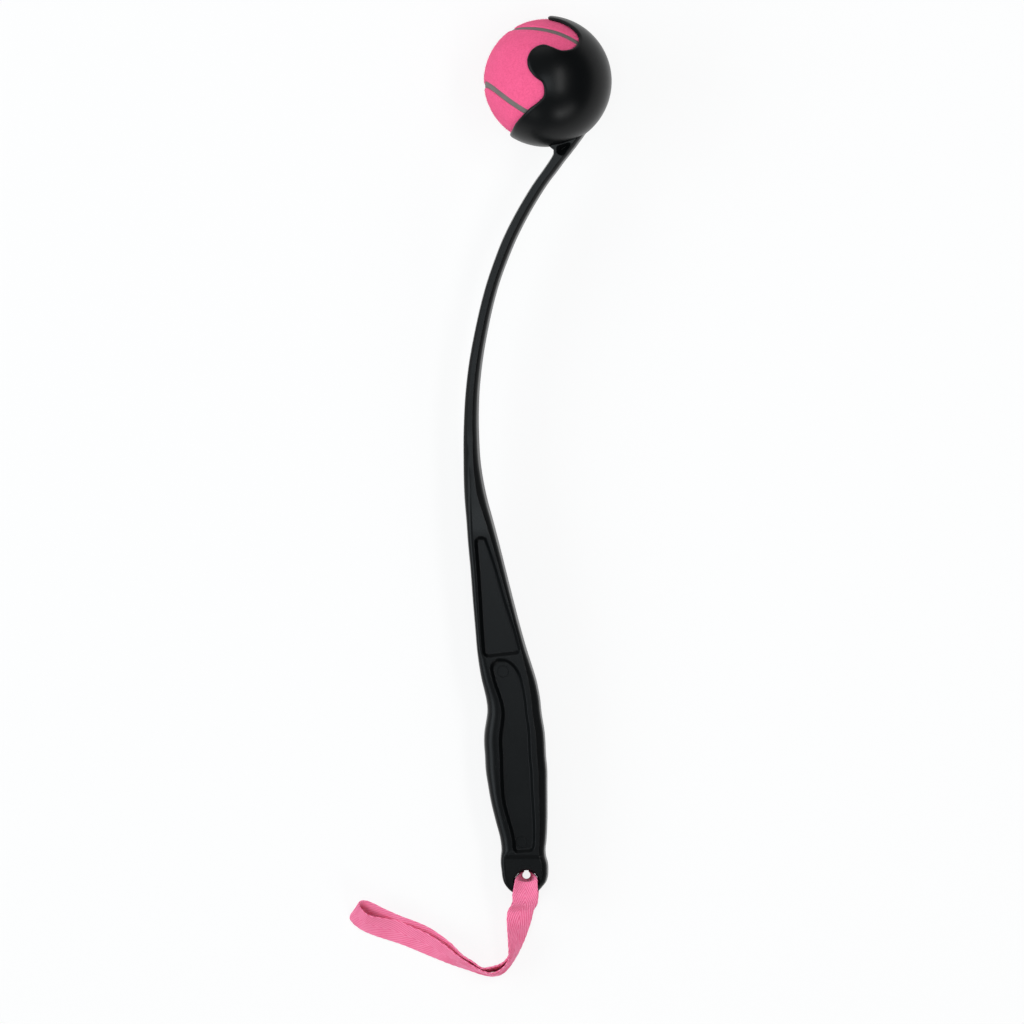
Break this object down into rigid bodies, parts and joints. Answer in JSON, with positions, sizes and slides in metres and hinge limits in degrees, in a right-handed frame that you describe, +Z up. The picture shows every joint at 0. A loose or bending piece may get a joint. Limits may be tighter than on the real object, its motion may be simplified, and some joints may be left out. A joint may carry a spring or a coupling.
{
  "type": "dog ball thrower",
  "caption": "Hand ball thrower: a bowed moulded arm with a lobed snap cup that holds a felt ball, a waisted handle with recessed panels, and a woven wrist strap through its end.",
  "frame": {"origin": "under the middle of the whole object, on the surface it lies on", "axes": "+Z up from that surface, +Y along the object from the handle to the cup, +X to the side that the arm bows away from"},
  "size_m": [0.1344, 0.4922, 0.0674],
  "materials": {
    "moulding": "satin black moulded polypropylene",
    "tape": "pink herringbone cotton tape",
    "core_rubber": "grey moulded rubber",
    "felt": "pink napped felt",
    "seam_rubber": "grey moulded rubber"
  },
  "bodies": {
    "thrower": {"thrower_moulding": "moulding", "wrist_strap": "tape"},
    "ball": {"ball_core_half_a": "core_rubber", "ball_core_half_b": "core_rubber", "ball_felt_a": "felt", "ball_felt_b": "felt", "ball_seam": "seam_rubber"}
  },
  "joints": [
    {"name": "ball_release", "type": "slide", "parent": "thrower", "child": "ball", "axis": [-0.9511, 0.3086, 0.0159], "range_m": [0, 0.07], "deforming": ["ball_felt_a", "ball_felt_b", "ball_seam"]}
  ]
}
